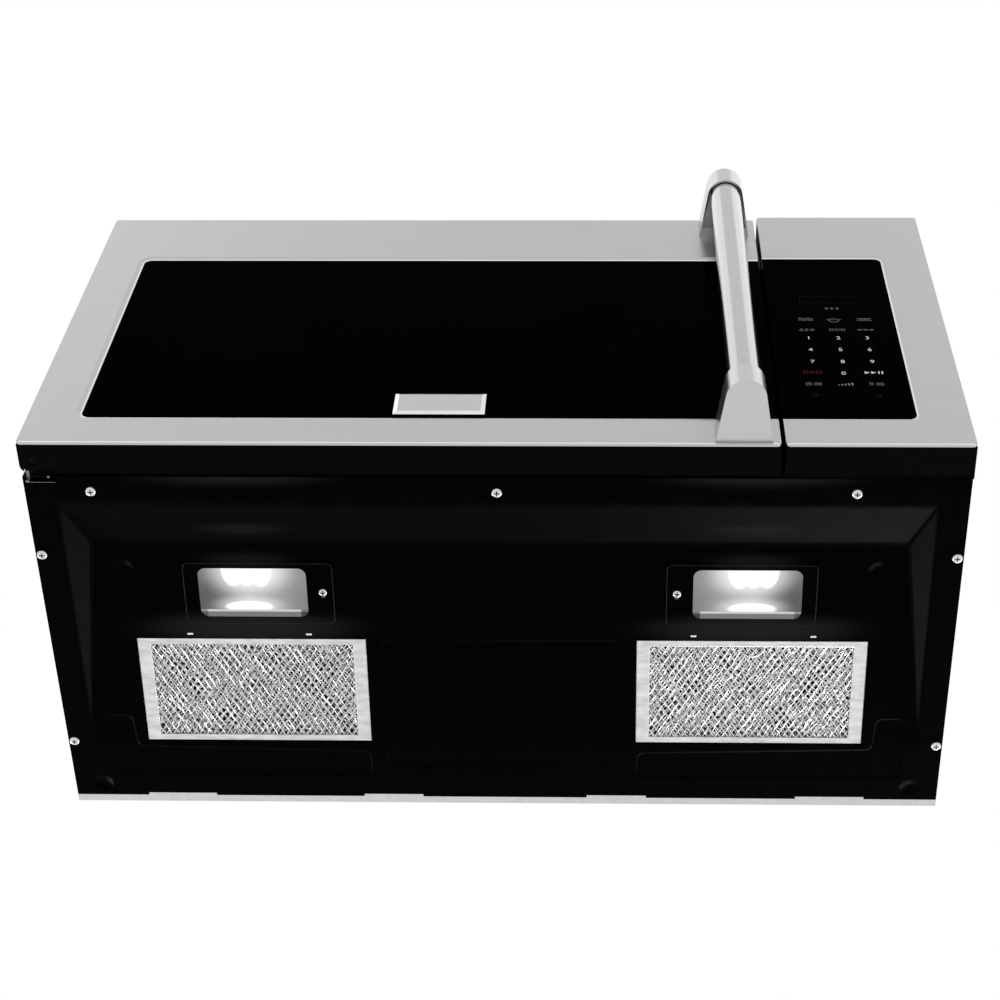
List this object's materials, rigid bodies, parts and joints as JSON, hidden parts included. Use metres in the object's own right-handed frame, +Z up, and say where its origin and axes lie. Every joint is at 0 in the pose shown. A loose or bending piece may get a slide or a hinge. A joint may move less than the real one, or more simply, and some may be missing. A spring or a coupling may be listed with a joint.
{
  "type": "over the range microwave",
  "caption": "Over the range microwave with a hinged door, bar handle, keypad, turntable and vent blower, and a sloped underside with lamps and grease filters.",
  "frame": {"origin": "middle of the rear face's bottom edge, on the wall plane", "axes": "+X to the right as seen from the front, +Y into the wall, +Z up"},
  "size_m": [0.759, 0.426, 0.4196],
  "materials": {
    "stainless": "brushed stainless, satin",
    "handle_steel": "satin tube and caps",
    "black_glass": "black glass, polished",
    "black_plastic": "moulded, fine matte",
    "case_paint": "black powder coat",
    "base_paint": "black semi-gloss paint",
    "door_paint": "black enamel",
    "cavity_enamel": "light grey enamel",
    "galvanised": "galvanised sheet",
    "aluminium": "mill finish",
    "filter_mesh": "expanded mesh in a folded frame",
    "steel": "bright steel",
    "motor_steel": "plated can",
    "screw_zinc": "zinc plated",
    "wheel_plastic": "moulded",
    "white_plastic": "moulded, natural",
    "tray_glass": "clear pressed glass",
    "lamp_lens": "frosted",
    "mica": "pressed mica sheet",
    "transformer": "varnished laminations",
    "circuit_board": "solder mask",
    "led_board": "white solder mask",
    "nameplate": "blank satin plate",
    "charcoal": "charcoal pad"
  },
  "bodies": {
    "case": {"outer_case": "case_paint", "rear_panel": "galvanised", "base_plate": "base_paint", "front_frame": "case_paint", "chassis_floor": "galvanised", "oven_cavity": "cavity_enamel", "case_screws": "screw_zinc", "vent_grille": "black_plastic", "charcoal_filter": "charcoal", "cord_gland": "black_plastic", "blower_housing": "galvanised", "blower_motor": "motor_steel", "waveguide": "galvanised", "waveguide_cover": "mica", "magnetron": "aluminium", "hv_transformer": "transformer", "hv_capacitor": "aluminium", "cooling_fan_housing": "black_plastic", "cooling_fan_motor": "motor_steel", "turntable_motor": "galvanised", "control_panel_skin": "stainless", "control_panel_glass": "black_glass", "control_panel_housing": "black_plastic", "control_board": "circuit_board", "hinge_bracket_upper": "case_paint", "hinge_bracket_lower": "case_paint", "latch_switch_bracket": "white_plastic", "interlock_switches": "black_plastic", "lamp_housings": "galvanised", "lamp_led_modules": "led_board"},
    "door": {"door_skin": "stainless", "door_glass": "black_glass", "door_body": "black_plastic", "door_choke": "door_paint", "door_inner_trim": "black_plastic", "nameplate": "nameplate", "latch_spring": "steel", "handle_bar": "handle_steel", "handle_post_upper": "handle_steel", "handle_post_lower": "handle_steel", "handle_screws": "screw_zinc"},
    "latch": {"latch_bar": "white_plastic"},
    "tray": {"turntable_coupler": "white_plastic", "glass_tray": "tray_glass"},
    "ring": {"roller_ring": "white_plastic"},
    "roller_a": {"roller_1": "white_plastic"},
    "roller_b": {"roller_2": "white_plastic"},
    "roller_c": {"roller_3": "white_plastic"},
    "blower_rotor": {"blower_shaft": "steel", "blower_wheel_left": "wheel_plastic", "blower_wheel_right": "wheel_plastic"},
    "fan_rotor": {"cooling_fan_wheel": "wheel_plastic"},
    "lamp_left": {"lamp_cover_left": "base_paint", "lamp_lens_left": "lamp_lens", "lamp_screw_left": "screw_zinc"},
    "lamp_right": {"lamp_cover_right": "base_paint", "lamp_lens_right": "lamp_lens", "lamp_screw_right": "screw_zinc"},
    "filter_left": {"grease_filter_left": "filter_mesh"},
    "filter_right": {"grease_filter_right": "filter_mesh"}
  },
  "joints": [
    {"name": "door_hinge", "type": "hinge", "parent": "case", "child": "door", "pos_m": [-0.3695, -0.352, 0.206], "axis": [0, 0, -1], "range_deg": [0, 100]},
    {"name": "latch_slide", "type": "slide", "parent": "door", "child": "latch", "axis": [0, 0, 1], "range_m": [0, 0.004], "stiffness_N_per_m": 600, "springref_m": -0.005, "deforming": ["latch_spring"]},
    {"name": "tray_spin", "type": "hinge", "parent": "case", "child": "tray", "pos_m": [-0.0775, -0.1873, 0.0776], "axis": [0, 0, 1], "continuous": true},
    {"name": "ring_spin", "type": "hinge", "parent": "case", "child": "ring", "pos_m": [-0.0775, -0.1873, 0.0698], "axis": [0, 0, 1], "continuous": true},
    {"name": "roller_a_spin", "type": "hinge", "parent": "ring", "child": "roller_a", "pos_m": [-0.0775, -0.0923, 0.0698], "axis": [0, 1, 0], "continuous": true},
    {"name": "roller_b_spin", "type": "hinge", "parent": "ring", "child": "roller_b", "pos_m": [-0.15977, -0.2348, 0.0698], "axis": [-0.866, -0.5, 0], "continuous": true},
    {"name": "roller_c_spin", "type": "hinge", "parent": "ring", "child": "roller_c", "pos_m": [0.00477, -0.2348, 0.0698], "axis": [0.866, -0.5, 0], "continuous": true},
    {"name": "blower_spin", "type": "hinge", "parent": "case", "child": "blower_rotor", "pos_m": [0, -0.0795, 0.358], "axis": [1, 0, 0], "continuous": true},
    {"name": "cooling_fan_spin", "type": "hinge", "parent": "case", "child": "fan_rotor", "pos_m": [0.28425, -0.0575, 0.111], "axis": [0, 1, 0], "continuous": true},
    {"name": "lamp_cover_left_hinge", "type": "hinge", "parent": "case", "child": "lamp_left", "pos_m": [-0.264, -0.21642, 0.0134], "axis": [0, 0.9961, -0.0884], "range_deg": [0, 80]},
    {"name": "lamp_cover_right_hinge", "type": "hinge", "parent": "case", "child": "lamp_right", "pos_m": [0.264, -0.21642, 0.0134], "axis": [0, -0.9961, 0.0884], "range_deg": [0, 80]},
    {"name": "grease_filter_left_hinge", "type": "hinge", "parent": "case", "child": "filter_left", "pos_m": [-0.2116, -0.06818, 0.00155], "axis": [1, 0, 0], "range_deg": [0, 75]},
    {"name": "grease_filter_right_hinge", "type": "hinge", "parent": "case", "child": "filter_right", "pos_m": [0.2116, -0.06818, 0.00155], "axis": [1, 0, 0], "range_deg": [0, 75]}
  ],
  "couplings": [
    {"joint": "ring_spin", "follows": "tray_spin", "ratio": 0.5},
    {"joint": "roller_a_spin", "follows": "tray_spin", "ratio": -6.3333},
    {"joint": "roller_b_spin", "follows": "tray_spin", "ratio": -6.3333},
    {"joint": "roller_c_spin", "follows": "tray_spin", "ratio": -6.3333}
  ]
}
